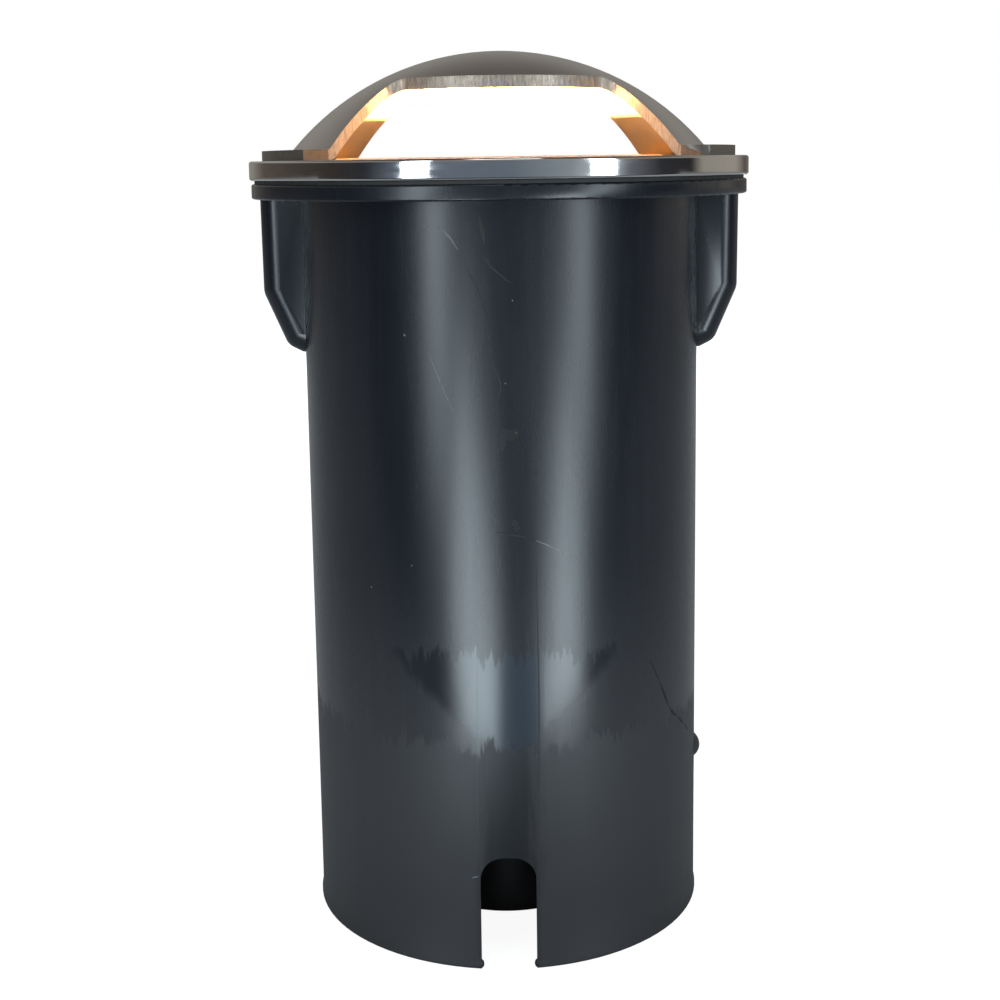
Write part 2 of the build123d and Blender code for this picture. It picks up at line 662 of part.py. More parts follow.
# ---------------------------------------------------------------- cable gland in the base's floor
gland_top = base_bottom + base_floor + gland_locknut + gland_thread_end
collar_top = base_bottom - gland_washer
collar_bottom = collar_top - gland_collar
gland_bottom = collar_bottom - gland_body_drop
seal_r = gland_thread_r - gland_body_wall
nut_bottom = gland_bottom - gland_nut_lip
with BuildPart() as gland_body:
    with BuildSketch(Plane.XY.offset(gland_bottom)):
        with Locations((0, gland_y)):
            Circle(gland_thread_r)
    extrude(amount=gland_top - gland_bottom)
    with BuildSketch(Plane.XY.offset(collar_bottom)):
        with Locations((0, gland_y)):
            RegularPolygon(gland_hex_af / 2, 6, major_radius=False)
    extrude(amount=gland_collar)
    with BuildSketch(Plane.XY.offset(gland_bottom)):
        with Locations((0, gland_y)):
            Circle(cable_r + gland_passage_gap)
    extrude(amount=gland_top - gland_bottom, mode=Mode.SUBTRACT)
    with BuildSketch(Plane.XY.offset(gland_bottom)):
        with Locations((0, gland_y)):
            Circle(seal_r)
    extrude(amount=gland_body_drop, mode=Mode.SUBTRACT)
write(gland_body.part, "gland_body")

with BuildPart() as gland_seal:
    with BuildSketch(Plane.XY.offset(gland_bottom)):
        with Locations((0, gland_y)):
            Circle(seal_r - thread_gap)
            Circle(cable_r, mode=Mode.SUBTRACT)
    extrude(amount=gland_body_drop)
write(gland_seal.part, "gland_seal")

with BuildPart() as gland_nut:
    with BuildSketch(Plane.XY.offset(nut_bottom)):
        with Locations((0, gland_y)):
            RegularPolygon(gland_hex_af / 2, 6, major_radius=False)
    extrude(amount=gland_nut_length)
    chamfer(gland_nut.edges().group_by(Axis.Z)[0], length=gland_nut_chamfer)
    with BuildSketch(Plane.XY.offset(gland_bottom)):
        with Locations((0, gland_y)):
            Circle(gland_thread_r + slide_gap)
    extrude(amount=gland_nut_length, mode=Mode.SUBTRACT)
    with BuildSketch(Plane.XY.offset(nut_bottom)):
        with Locations((0, gland_y)):
            Circle(cable_r + gland_nut_mouth)
    extrude(amount=gland_nut_length, mode=Mode.SUBTRACT)
write(gland_nut.part, "gland_nut")

with BuildPart() as gland_washer_ring:
    with BuildSketch(Plane.XY.offset(collar_top)):
        with Locations((0, gland_y)):
            Circle(gland_hex_af / 2)
            Circle(gland_thread_r + part_gap, mode=Mode.SUBTRACT)
    extrude(amount=gland_washer)
write(gland_washer_ring.part, "gland_washer")

with BuildPart() as gland_locknut_ring:
    with BuildSketch(Plane.XY.offset(base_bottom + base_floor)):
        with Locations((0, gland_y)):
            RegularPolygon(gland_hex_af / 2, 6, major_radius=False)
            Circle(gland_thread_r + slide_gap, mode=Mode.SUBTRACT)
    extrude(amount=gland_locknut)
write(gland_locknut_ring.part, "gland_locknut")

# ---------------------------------------------------------------- domed cover
# The plate is pressed to a sphere, and its windows are cut straight down through it.


def draw_window(side, brow_r, shoulder_y, leg_slope):
    """Outline of one window seen from above: both legs, the brow between them and a far edge."""
    leg_x = 3 * lug_r
    leg_y = shoulder_y + leg_slope * (leg_x - shoulder_x)
    with BuildSketch(Plane.XY.offset(cover_underside)) as window:
        with BuildLine():
            Line((-leg_x, side * leg_y), (-shoulder_x, side * shoulder_y))
            ThreePointArc((-shoulder_x, side * shoulder_y), (0, side * brow_r),
                          (shoulder_x, side * shoulder_y))
            Polyline((shoulder_x, side * shoulder_y), (leg_x, side * leg_y),
                     (leg_x, side * 2 * leg_y), (-leg_x, side * 2 * leg_y), (-leg_x, side * leg_y))
        make_face()
        shoulders = window.vertices().filter_by(lambda v: abs(v.X) < shoulder_x + shoulder_round)
        fillet(shoulders, radius=shoulder_round)
    return window.sketch


with BuildPart() as dome_cover:
    with BuildSketch(Plane.XZ) as plate_section:
        with Locations((0, dome_centre_z)):
            Circle(dome_r)
        with Locations((0, cover_underside)):
            Rectangle(2 * dome_r, 2 * dome_r, align=(Align.CENTER, Align.MAX), mode=Mode.SUBTRACT)
            Rectangle(lug_r, cover_thickness, align=(Align.MIN, Align.MIN))
        with Locations((0, dome_centre_z)):
            Circle(dome_r - cover_thickness, mode=Mode.SUBTRACT)
        with Locations((0, dome_centre_z)):
            Rectangle(2 * dome_r, 3 * dome_r, align=(Align.MAX, Align.CENTER), mode=Mode.SUBTRACT)
        fillet(plate_section.vertices().sort_by_distance(
            (sqrt(dome_r ** 2 - (cover_top - dome_centre_z) ** 2), cover_top))[0], radius=foot_round)
        fillet(plate_section.vertices().sort_by_distance(
            (sqrt((dome_r - cover_thickness) ** 2 - (cover_underside - dome_centre_z) ** 2),
             cover_underside))[0], radius=foot_round + cover_thickness)
    revolve(axis=Axis.Z)
    front_window = draw_window(-1, brow_front_r, shoulder_front_y, leg_slope_front)
    back_window = draw_window(1, brow_back_r, shoulder_back_y, leg_slope_back)
    extrude(front_window.rotate(Axis.Z, front_window_turn), amount=dome_r, mode=Mode.SUBTRACT)
    extrude(back_window, amount=dome_r, mode=Mode.SUBTRACT)
    with Locations((screw_circle_r, 0, cover_top), (-screw_circle_r, 0, cover_top)):
        CounterSinkHole(radius=screw_r + screw_clearance, counter_sink_radius=screw_head_r + part_gap,
                        depth=cover_thickness, counter_sink_angle=90)
write(dome_cover.part, "dome_cover")

for name, x in (("cover_screw_left", -screw_circle_r), ("cover_screw_right", screw_circle_r)):
    write(countersunk_screw(cover_top, cover_screw_length, (x, 0), name), name)
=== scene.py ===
"""In-ground well light, standing on a pale studio floor with its light source lit.

Metres, +Z up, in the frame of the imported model. The camera stands where the photograph's did.
"""
import json
from math import cos, pi, radians, sin, tan

import bmesh
import bpy
import numpy as np
from mathutils import Matrix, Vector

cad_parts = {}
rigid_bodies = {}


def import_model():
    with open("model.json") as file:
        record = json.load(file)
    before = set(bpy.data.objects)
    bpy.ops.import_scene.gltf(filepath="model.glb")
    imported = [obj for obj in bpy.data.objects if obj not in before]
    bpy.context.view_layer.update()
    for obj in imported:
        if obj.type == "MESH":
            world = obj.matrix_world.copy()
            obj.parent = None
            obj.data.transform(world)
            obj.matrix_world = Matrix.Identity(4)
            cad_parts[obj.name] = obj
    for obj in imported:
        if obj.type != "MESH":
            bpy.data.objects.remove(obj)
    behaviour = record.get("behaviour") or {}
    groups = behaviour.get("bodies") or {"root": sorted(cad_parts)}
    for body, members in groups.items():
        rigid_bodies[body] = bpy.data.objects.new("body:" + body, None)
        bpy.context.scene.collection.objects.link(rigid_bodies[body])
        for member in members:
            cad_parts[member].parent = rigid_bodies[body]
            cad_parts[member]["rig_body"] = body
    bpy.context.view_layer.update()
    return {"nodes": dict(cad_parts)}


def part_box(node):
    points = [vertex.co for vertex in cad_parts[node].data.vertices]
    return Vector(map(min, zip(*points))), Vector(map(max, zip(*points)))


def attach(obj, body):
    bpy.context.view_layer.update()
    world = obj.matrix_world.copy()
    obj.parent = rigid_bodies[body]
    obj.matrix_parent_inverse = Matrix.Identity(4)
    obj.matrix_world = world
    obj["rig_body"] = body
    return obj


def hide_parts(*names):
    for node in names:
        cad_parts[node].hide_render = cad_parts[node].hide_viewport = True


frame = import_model()
scene = bpy.context.scene
scene.view_settings.view_transform = "Standard"

# ---------------------------------------------------------------- camera
# It looks at the lamp from 0.37 m, level with the ring and tipped down 8 degrees, so the frame
# is shifted down to take in the whole sleeve. It leans a little, as the photograph does.
sensor_width = 36.0
camera_place = (0.0, -0.366, 0.1741)
tipped_down = 7.909           # degrees
leaning = -0.78
lens_data = bpy.data.cameras.new("photo_view")
lens_data.sensor_width = sensor_width
lens_data.lens = 1.5707 * sensor_width
lens_data.shift_x = -0.0017
lens_data.shift_y = -0.12
lens_data.clip_start = 0.02
camera = bpy.data.objects.new("photo_view", lens_data)
scene.collection.objects.link(camera)
camera.matrix_world = (Matrix.Translation(camera_place)
                       @ Matrix.Rotation(radians(90.0 - tipped_down), 4, "X")
                       @ Matrix.Rotation(radians(leaning), 4, "Z"))
scene.camera = camera


# ---------------------------------------------------------------- studio floor and room
# A pale table that ends a hand's width in front of the lamp, in a grey room with a warm wall
# behind it. The floor and the room are white to the camera, and the floor keeps the shadow.
class Finish:
    """A node material under construction: each call adds one node and returns its output."""

    def __init__(self, name, tree=None):
        if tree is None:
            self.material = bpy.data.materials.new(name)
            self.material.use_nodes = True
            tree = self.material.node_tree
        tree.nodes.clear()
        self.tree = tree

    def add(self, kind, settings=None, out=0, **inputs):
        """One node: settings are its own properties, inputs are values or links by socket name."""
        node = self.tree.nodes.new("ShaderNode" + kind)
        for key, value in (settings or {}).items():
            setattr(node, key, value)
        for key, value in inputs.items():
            socket = node.inputs[int(key[1:])] if key[0] == "i" and key[1:].isdigit() else (
                node.inputs[key.replace("_", " ")])
            if isinstance(value, bpy.types.NodeSocket):
                self.tree.links.new(value, socket)
            else:
                socket.default_value = value
        return node.outputs[out]

    def math(self, operation, a, b=0.0, c=0.0):
        return self.add("Math", {"operation": operation}, i0=a, i1=b, i2=c)

    def numbers(self, vector):
        """The x, y and z of a vector."""
        return self.add("SeparateXYZ", Vector=vector).node.outputs

    def blend(self, factor, a, b):
        """Colour a at factor 0, colour b at factor 1."""
        return self.add("Mix", {"data_type": "RGBA"}, out=2, i0=factor, i6=a, i7=b)

    def ramp(self, value, low, high, start=0.0, end=1.0, smooth=False):
        """start at low and past it, end at high and past it, and even between the two."""
        return self.add("MapRange", {"interpolation_type": "SMOOTHSTEP" if smooth else "LINEAR"},
                        i0=value, i1=low, i2=high, i3=start, i4=end)

    def noise(self, at, scale, detail=3.0, roughness=0.5):
        """Uneven values from 0 to 1, mostly near a half."""
        return self.add("TexNoise", Vector=at, Scale=scale, Detail=detail, Roughness=roughness)

    def place(self, scale=(1.0, 1.0, 1.0)):
        """Object coordinates, stretched."""
        return self.add("Mapping", Vector=self.add("TexCoord", out="Object"), Scale=scale)

    def round_place(self, scale=(1.0, 1.0, 1.0)):
        """Angle round the Z axis in radians, distance from it and height, stretched."""
        x, y, z = self.numbers(self.add("TexCoord", out="Object"))
        turn = self.math("ARCTAN2", x, self.math("MULTIPLY", y, -1.0))
        reach = self.math("SQRT", self.math("MULTIPLY_ADD", x, x, self.math("POWER", y, 2.0)))
        spot = self.add("CombineXYZ", i0=turn, i1=reach, i2=z)
        return self.add("Mapping", Vector=spot, Scale=scale)

    def bump(self, height, depth, strength=1.0):
        """The surface's normal where height 0 to 1 stands for this depth."""
        return self.add("Bump", Height=height, Distance=depth, Strength=strength)

    def shine(self, shader):
        """Ends the material with this shader."""
        self.tree.links.new(shader, self.tree.nodes.new("ShaderNodeOutputMaterial").inputs[0])
        return self.material

    def coated(self, **inputs):
        """The shader of a solid surface."""
        return self.add("BsdfPrincipled", **inputs)


room_world = bpy.data.worlds.new("studio_room")
room_world.use_nodes = True
scene.world = room_world
room = Finish("studio_room", room_world.node_tree)
across, away, up = room.numbers(room.add("TexCoord", out="Generated"))
turn = room.math("ARCTAN2", across, room.math("MULTIPLY", away, -1.0))
walls = room.add("ValToRGB", Fac=room.ramp(turn, -pi, pi))
# colours round the room, in degrees from the camera's side
wall_stops = (
    (-180, (0.28, 0.26, 0.23)), (-150, (0.28, 0.26, 0.23)), (-132, (0.12, 0.10, 0.085)),
    (-80, (0.05, 0.043, 0.038)), (-60, (0.03, 0.034, 0.044)), (-42, (0.16, 0.19, 0.25)),
    (6, (0.17, 0.21, 0.26)), (32, (0.32, 0.37, 0.42)), (42, (0.55, 0.62, 0.68)),
    (60, (0.15, 0.16, 0.19)), (76, (0.035, 0.037, 0.042)), (95, (0.03, 0.03, 0.032)),
    (103, (0.38, 0.36, 0.32)), (134, (0.40, 0.37, 0.33)), (150, (0.11, 0.09, 0.08)),
    (180, (0.28, 0.26, 0.23)))
stops = walls.node.color_ramp.elements
while len(stops) < len(wall_stops):
    stops.new(0.5)
for stop, (degrees, colour) in zip(stops, wall_stops):
    stop.position = (degrees + 180) / 360
    stop.color = (*colour, 1)
rise = room.math("ARCSINE", up)
ceiling = room.blend(room.ramp(rise, 0.25, 0.95, smooth=True),
                     (0.42, 0.40, 0.37, 1), (0.13, 0.11, 0.10, 1))
ground_up = room.blend(room.ramp(rise, -0.9, -0.1), (0.03, 0.032, 0.036, 1), walls)
seen_in_metal = room.blend(room.ramp(rise, 0.08, 0.40, smooth=True), ground_up, ceiling)
path = room.add("LightPath").node.outputs
lit = room.blend(path["Is Glossy Ray"], (0.42, 0.43, 0.45, 1), seen_in_metal)
lit = room.blend(path["Is Transmission Ray"], lit, (1, 1, 1, 1))
lit = room.blend(path["Is Camera Ray"], lit, (1, 1, 1, 1))
sky = room.add("Background", Color=lit, Strength=1.0)
room.tree.links.new(sky, room.tree.nodes.new("ShaderNodeOutputWorld").inputs[0])

table_edge = -0.171
table_half = 3.0
table_mesh = bpy.data.meshes.new("studio_floor")
table_mesh.from_pydata([(x * table_half, y * table_half, 0)
                        for x, y in ((-1, -1), (1, -1), (1, 1), (-1, 1))], [], [(0, 1, 2, 3)])
table = bpy.data.objects.new("studio_floor", table_mesh)
scene.collection.objects.link(table)
floor = Finish("pale_floor")
path = floor.add("LightPath").node.outputs
floor_y = floor.numbers(floor.add("TexCoord", out="Object"))[1]
on_table = floor.math("GREATER_THAN", floor_y, table_edge)
grain = floor.noise(floor.place(), 90.0)
pale = floor.blend(grain, (0.44, 0.44, 0.44, 1), (0.48, 0.48, 0.48, 1))
matt = floor.add("MixShader", i0=on_table, i1=floor.add("BsdfTransparent"),
                 i2=floor.add("BsdfDiffuse", Color=pale))
# to the camera it is nearly white by itself, and the light that falls on it gives the shadow
white = floor.add("Emission", Color=(1, 1, 1, 1), Strength=0.93)
seen = floor.add("AddShader", i0=floor.add("BsdfDiffuse", Color=(0.25, 0.25, 0.25, 1)), i1=white)
pale_floor = floor.shine(floor.add("MixShader", i0=path["Is Camera Ray"], i1=matt, i2=seen))
table_mesh.materials.append(pale_floor)

panel_distance = 1.2
panel_colour = (0.80, 0.93, 1.0)


def softbox(name, turn, width, height, centre_z, radiance, lean=0.0):
    """A light panel that faces the lamp, turned from the camera's side as seen from above, and
    leaning in its own plane, both in degrees."""
    panel = bpy.data.lights.new(name, "AREA")
    panel.shape = "RECTANGLE"
    panel.size = width
    panel.size_y = height
    panel.energy = radiance * pi * width * height
    panel.color = panel_colour
    box = bpy.data.objects.new(name, panel)
    scene.collection.objects.link(box)
    box.matrix_world = (Matrix.Rotation(radians(turn), 4, "Z")
                        @ Matrix.Translation((0, -panel_distance, centre_z))
                        @ Matrix.Rotation(radians(90.0), 4, "X")
                        @ Matrix.Rotation(radians(lean), 4, "Z"))
    return box


softbox("softbox_left", turn=-36.0, width=0.25, height=0.94, centre_z=0.38, radiance=7.0)
softbox("softbox_right", turn=45.5, width=0.24, height=0.94, centre_z=0.38, radiance=6.0)
low_left = softbox("low_panel_left", turn=-17.0, width=0.34, height=0.52, centre_z=-0.30,
                   radiance=10.4, lean=54.0)
low_right = softbox("low_panel_right", turn=33.0, width=0.32, height=0.48, centre_z=-0.31,
                    radiance=10.4, lean=-48.0)
behind = softbox("softbox_behind", turn=180.0, width=0.36, height=0.94, centre_z=0.30,
                 radiance=10.0)
above_turn = 4.0
above_place = (0, -0.60, 1.20)
above_tipped = 26.0
above = softbox("softbox_above", turn=above_turn, width=0.50, height=0.30, centre_z=0.0,
                radiance=3.5)
above.matrix_world = (Matrix.Rotation(radians(above_turn), 4, "Z")
                      @ Matrix.Translation(above_place)
                      @ Matrix.Rotation(radians(above_tipped), 4, "X"))


# ---------------------------------------------------------------- ground sleeve
# The outer tube that stays in the soil: black polypropylene, injection moulded with a slight
# taper, scuffed in handling, with mould lines that run up from the cable slot's sides. Its lower
# end is dull with dust, which is wiped off above the slot, and over the slot a bluish sheen is
# painted into its colour.
crisp_angle = 28.0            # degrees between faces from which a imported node's edge stays sharp
same_point = 1e-6


def weld_points(piece, distance):
    """Points nearer to each other than this become one."""
    weld = piece.modifiers.new("joined", "WELD")
    weld.merge_threshold = distance


def keep_crisp(piece, degrees):
    """Faces that meet at more than this angle aren't shaded into each other."""
    split = piece.modifiers.new("crisp", "EDGE_SPLIT")
    split.split_angle = radians(degrees)


def smooth_faces(node):
    """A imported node's faces shaded as one surface, with its vertices as they are."""
    mesh = node.data
    mesh.polygons.foreach_set("use_smooth", np.ones(len(mesh.polygons), bool))
    weld_points(node, same_point)
    keep_crisp(node, crisp_angle)


def wear(material, *names):
    """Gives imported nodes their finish."""
    for name in names:
        node = frame["nodes"][name]
        node.data.materials.clear()
        node.data.materials.append(material)
        smooth_faces(node)


def sheet(name, grid, material, body, wrap=False):
    """A smooth surface over a grid of points p(row, column). With wrap the last column is joined
    to the first."""
    rows, columns = grid.shape[:2]
    index = np.arange(rows * columns).reshape(rows, columns)
    across = np.roll(index, -1, axis=1) if wrap else index[:, 1:]
    here = index if wrap else index[:, :-1]
    quads = np.stack([here[:-1], across[:-1], across[1:], here[1:]], axis=-1).reshape(-1, 4)
    mesh = bpy.data.meshes.new(name)
    mesh.from_pydata(grid.reshape(-1, 3), [], quads)
    mesh.polygons.foreach_set("use_smooth", np.ones(len(mesh.polygons), bool))
    mesh.materials.append(material)
    piece = bpy.data.objects.new(name, mesh)
    scene.collection.objects.link(piece)
    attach(piece, body)
    return piece


plastic = Finish("black_moulding")
at = plastic.place()
cloud = plastic.noise(at, 55.0, 5.0)
fine = plastic.noise(at, 1100.0, 2.0)
streak = plastic.noise(plastic.round_place((16.0, 60.0, 26.0)), 1.0, 6.0, 0.65)
teeth = plastic.noise(plastic.round_place((26.0, 10.0, 60.0)), 1.0, 5.0, 0.7)
height = plastic.numbers(at)[2]
off_slot = plastic.math("ABSOLUTE", plastic.numbers(plastic.round_place())[0])

# dust gets denser downwards, and below a ragged line of soil the skin is dull
dusty_height = plastic.math("MULTIPLY_ADD", streak, 0.020, height)
dust = plastic.ramp(dusty_height, 0.104, 0.036, smooth=True)
soil_line = plastic.math("MULTIPLY_ADD", teeth, 0.018, height)
dull = plastic.ramp(soil_line, 0.0600, 0.0585, smooth=True)

# the wiped patch over the slot: its half width in radians grows upwards, to a ragged upper edge
patch_width = plastic.ramp(height, 0.052, 0.070, 0.10, 0.55)
patch_width = plastic.math("MULTIPLY_ADD", teeth, 0.16, patch_width)
wiped = plastic.ramp(plastic.math("SUBTRACT", patch_width, off_slot), 0.0, 0.10, smooth=True)
tide = plastic.math("MULTIPLY_ADD", teeth, 0.020, height)
wiped = plastic.math("MULTIPLY", wiped, plastic.ramp(tide, 0.0805, 0.0793))
unwiped = plastic.math("SUBTRACT", 1.0, wiped)
# painted sheen: a bluish lightening of the colour over the wiped patch, strongest at the slot's
# middle, in place of the lamps' reflection
painted_sheen = plastic.math("MULTIPLY", wiped, plastic.ramp(off_slot, 0.22, 0.12, 0.0, 0.6, smooth=True))
painted_sheen = plastic.math("MULTIPLY", painted_sheen, plastic.math("SUBTRACT", 1.0, dull))

deep_black, grey_black = (0.0035, 0.0050, 0.0080, 1), (0.0065, 0.0085, 0.0125, 1)
rubbed, dusty, sheen_blue = (0.016, 0.020, 0.026, 1), (0.031, 0.032, 0.036, 1), (0.036, 0.048, 0.062, 1)
tone = plastic.blend(cloud, deep_black, grey_black)
tone = plastic.blend(plastic.ramp(streak, 0.45, 0.72, 0.0, 0.15, smooth=True), tone, rubbed)
tone = plastic.blend(plastic.math("MULTIPLY", dust, unwiped), tone, dusty)
# painted sheen: the bluish colour over the slot stands in for reflected light
tone = plastic.blend(painted_sheen, tone, sheen_blue)
rough = plastic.ramp(streak, 0.3, 0.7, 0.255, 0.285)
rough = plastic.math("MULTIPLY_ADD", dull, 0.20, rough)
rough = plastic.math("MULTIPLY_ADD", wiped, -0.07, rough)
black_moulding = plastic.shine(plastic.coated(
    Base_Color=tone, Roughness=rough, IOR=1.5, Normal=plastic.bump(fine, 0.00002, 0.22)))
wear(black_moulding, "ground_sleeve")

# scratches and mould lines: how pale, half width, and points as (degrees from the slot, height)
tube_base_r = 0.045
tube_draft = tan(radians(0.2))
scratches = (
    (0.5, 0.00022, ((-20.1, 0.1613), (-15.5, 0.1609), (-12.9, 0.1589), (-10.8, 0.1564))),
    (0.0, 0.00016, ((-8.8, 0.1527), (-5.8, 0.1482), (-3.8, 0.1429), (-2.9, 0.1369), (-2.0, 0.1321),
                    (-0.4, 0.1296), (-0.2, 0.1275), (-1.3, 0.1244), (-2.4, 0.1202))),
    (0.0, 0.00040, ((-5.2, 0.1635), (-3.8, 0.1576))),
    (0.0, 0.00018, ((-4.6, 0.1564), (-2.6, 0.1531), (1.5, 0.1502), (3.5, 0.1494))),
    (0.6, 0.00013, ((-19.5, 0.1353), (-16.3, 0.1291), (-12.7, 0.1225))),
    (0.0, 0.00018, ((-2.0, 0.0976), (4.8, 0.0964), (8.5, 0.0955))),
    (0.8, 0.00014, ((8.5, 0.0955), (13.4, 0.0936), (19.0, 0.0911))),
    (0.0, 0.00016, ((8.5, 0.0896), (8.8, 0.0739), (8.9, 0.0607), (8.7, 0.0474), (8.2, 0.0262))),
    (0.6, 0.00010, ((-7.5, 0.0763), (-8.1, 0.0483), (-8.3, 0.0268))),
    (0.0, 0.00045, ((44.7, 0.0651), (54.7, 0.0514), (71.5, 0.0415))),
    (0.8, 0.00014, ((-10.1, 0.0208), (-8.0, 0.0213))),
    (0.7, 0.00008, ((23.2, 0.0030), (25.7, 0.0014), (28.3, 0.0020), (30.6, 0.0008))),
    (0.6, 0.00018, ((-26.4, 0.1389), (-26.1, 0.1384))),
    (0.6, 0.00016, ((2.9, 0.1461), (3.2, 0.1458))),
    (0.5, 0.00016, ((23.1, 0.1364), (23.5, 0.1361))),
    (0.5, 0.00014, ((0.8, 0.1290), (1.1, 0.1287))),
    (0.6, 0.00016, ((-11.1, 0.0994), (-10.8, 0.0990))),
    (0.6, 0.00018, ((-25.9, 0.0895), (-25.5, 0.0893))),
    (0.5, 0.00018, ((-39.7, 0.0834), (-39.3, 0.0830))),
    (0.8, 0.00030, ((3.3, 0.1186), (3.9, 0.1183))))
scratch_proud = 0.00007       # at its middle line
scratch_section = np.array([0.2, 1.0, 0.2])
scratch_floor = 0.0001        # lowest that one reaches


def scratch(points, half_width, steps=24):
    """Ribbon on the tube: centre line c(t) through the points, and edges at
    c(t) +- w sin(pi t)^0.5 n(t)."""
    turns = np.radians([p[0] for p in points])
    heights = np.array([p[1] for p in points])
    flat = np.stack([turns * tube_base_r, heights], axis=1)
    along = np.concatenate([[0], np.cumsum(np.linalg.norm(np.diff(flat, axis=0), axis=1))])
    t = np.linspace(0, 1, steps)
    line = np.stack([np.interp(t * along[-1], along, flat[:, k]) for k in (0, 1)], axis=1)
    ahead = np.gradient(line, axis=0)
    normal = np.stack([-ahead[:, 1], ahead[:, 0]], axis=1) / np.linalg.norm(ahead, axis=1)[:, None]
    width = half_width * np.sin(pi * np.clip(t, 0.02, 0.98)) ** 0.5
    side = np.linspace(-1, 1, len(scratch_section))[None, :, None]
    edges = line[:, None, :] + side * (width[:, None] * normal)[:, None, :]
    turn, z = edges[..., 0] / tube_base_r, np.maximum(edges[..., 1], scratch_floor)
    r = tube_base_r + z * tube_draft + scratch_proud * scratch_section[None, :]
    return np.stack([r * np.sin(turn), -r * np.cos(turn), z], axis=-1)


def scuff_finish(name, colour, rough):
    """Rubbed plastic, which breaks up between half and one and a half times its colour."""
    scuff = Finish(name)
    broken = scuff.noise(scuff.place(), 900.0, 3.0)
    shade = scuff.blend(broken, (*(0.5 * c for c in colour), 1), (*(1.5 * c for c in colour), 1))
    return scuff.shine(scuff.coated(Base_Color=shade, Roughness=rough, IOR=1.5))


dark_scuff = scuff_finish("dark_scuff", (0.003, 0.0035, 0.004), 0.6)
palest = (0.17, 0.19, 0.21)
pale_scuffs = {
    pale: scuff_finish(f"pale_scuff_{int(10 * pale)}", tuple(c * pale for c in palest), 0.5)
    for pale in sorted({entry[0] for entry in scratches} - {0.0})}
for number, (pale, half_width, points) in enumerate(scratches):
    sheet(f"sleeve_scratch_{number:02d}", scratch(points, half_width),
          pale_scuffs.get(pale, dark_scuff), "sleeve")

# oily marks: degrees from the slot, height, half width in degrees, half height, and how its
# outline r(a) = 1 + sum of w / k^0.8 sin(k a + f) wavers, with f drawn from a seed
smudges = ((0.9, 0.1177, 2.2, 0.0021, 3), (3.2, 0.0990, 1.2, 0.0010, 7))
smudge_waves = (2, 3, 5, 8, 13, 21)
smudge_proud = 0.00006
oil = Finish("oily_mark")
film = oil.noise(oil.place(), 1200.0, 4.0)
tone = oil.blend(film, (0.002, 0.0025, 0.003, 1), (0.010, 0.012, 0.014, 1))
oily_mark = oil.shine(oil.coated(Base_Color=tone, Roughness=0.36, Specular_IOR_Level=0.38))
for number, (degrees, height, half_width, half_height, seed) in enumerate(smudges):
    dice = np.random.default_rng(seed)
    around = np.linspace(0, 2 * pi, 72, endpoint=False)
    waver = 1 + sum(0.60 / k ** 0.8 * np.sin(k * around + dice.uniform(0, 2 * pi))
                    for k in smudge_waves)
    reach = np.linspace(0.01, 1, 8)[:, None] * np.maximum(waver, 0.2)
    turned = np.radians(degrees + half_width * reach * np.cos(around))
    z = height + half_height * reach * np.sin(around)
    r = tube_base_r + z * tube_draft + smudge_proud
    mark = np.stack([r * np.sin(turned), -r * np.cos(turned), z], axis=-1)
    sheet(f"sleeve_smudge_{number}", mark, oily_mark, "sleeve", wrap=True)

# nubs of flash left at the slot's lower corners: an egg r (sin d cos a, sin d sin a, 1.4 cos d)
nub_r = 0.0007
nub_tall = 1.4
nub_sunk = 0.0004             # how far its middle is inside the tube's outer face
slot_corner = 7.9             # degrees from the slot's middle
for name, turn in (("slot_nub_left", -slot_corner), ("slot_nub_right", slot_corner)):
    around, down = np.meshgrid(np.linspace(0, 2 * pi, 24, endpoint=False),
                               np.linspace(0.02, 1, 10) * pi)
    ball = np.stack([nub_r * np.sin(down) * np.cos(around), nub_r * np.sin(down) * np.sin(around),
                     nub_tall * nub_r * np.cos(down)], axis=-1)
    foot = (tube_base_r * sin(radians(turn)), -(tube_base_r - nub_sunk) * cos(radians(turn)),
            nub_tall * nub_r)
    sheet(name, ball + np.array(foot), black_moulding, "sleeve", wrap=True)

# ---------------------------------------------------------------- brass inserts
# Two turned and knurled brass sleeves, tapped inside and pressed into the bosses from above, which
# take the cover's screws.
brass_metal = Finish("brass")
turned = brass_metal.noise(brass_metal.place((300.0, 300.0, 6000.0)), 1.0, 2.0)
tarnish = brass_metal.noise(brass_metal.place(), 400.0, 4.0)
tone = brass_metal.blend(tarnish, (0.66, 0.44, 0.19, 1), (0.80, 0.58, 0.29, 1))
wear(brass_metal.shine(brass_metal.coated(
    Base_Color=tone, Metallic=1.0, Roughness=brass_metal.ramp(tarnish, 0.3, 0.7, 0.22, 0.40),
    Normal=brass_metal.bump(turned, 0.00002, 0.4))), "threaded_inserts")

# ---------------------------------------------------------------- gaskets and seals
# Cut and moulded black rubber, matt with a dusting of talc: the sleeve's flat gasket, the lens's
# channel, the seals of the wiring base, the driver tube and its cap, and the gland's seal.
rubber = Finish("black_rubber")
talc = rubber.noise(rubber.place(), 700.0, 5.0, 0.7)
tone = rubber.blend(rubber.ramp(talc, 0.45, 0.75),
                    (0.008, 0.008, 0.009, 1), (0.030, 0.029, 0.028, 1))
black_rubber = rubber.shine(rubber.coated(
    Base_Color=tone, Roughness=rubber.ramp(talc, 0.3, 0.7, 0.5, 0.8), IOR=1.5,
    Normal=rubber.bump(talc, 0.00003, 0.35)))
wear(black_rubber, "sleeve_gasket", "lens_gasket", "base_seal", "tube_seal", "cap_seal",
     "gland_seal", "gland_washer")

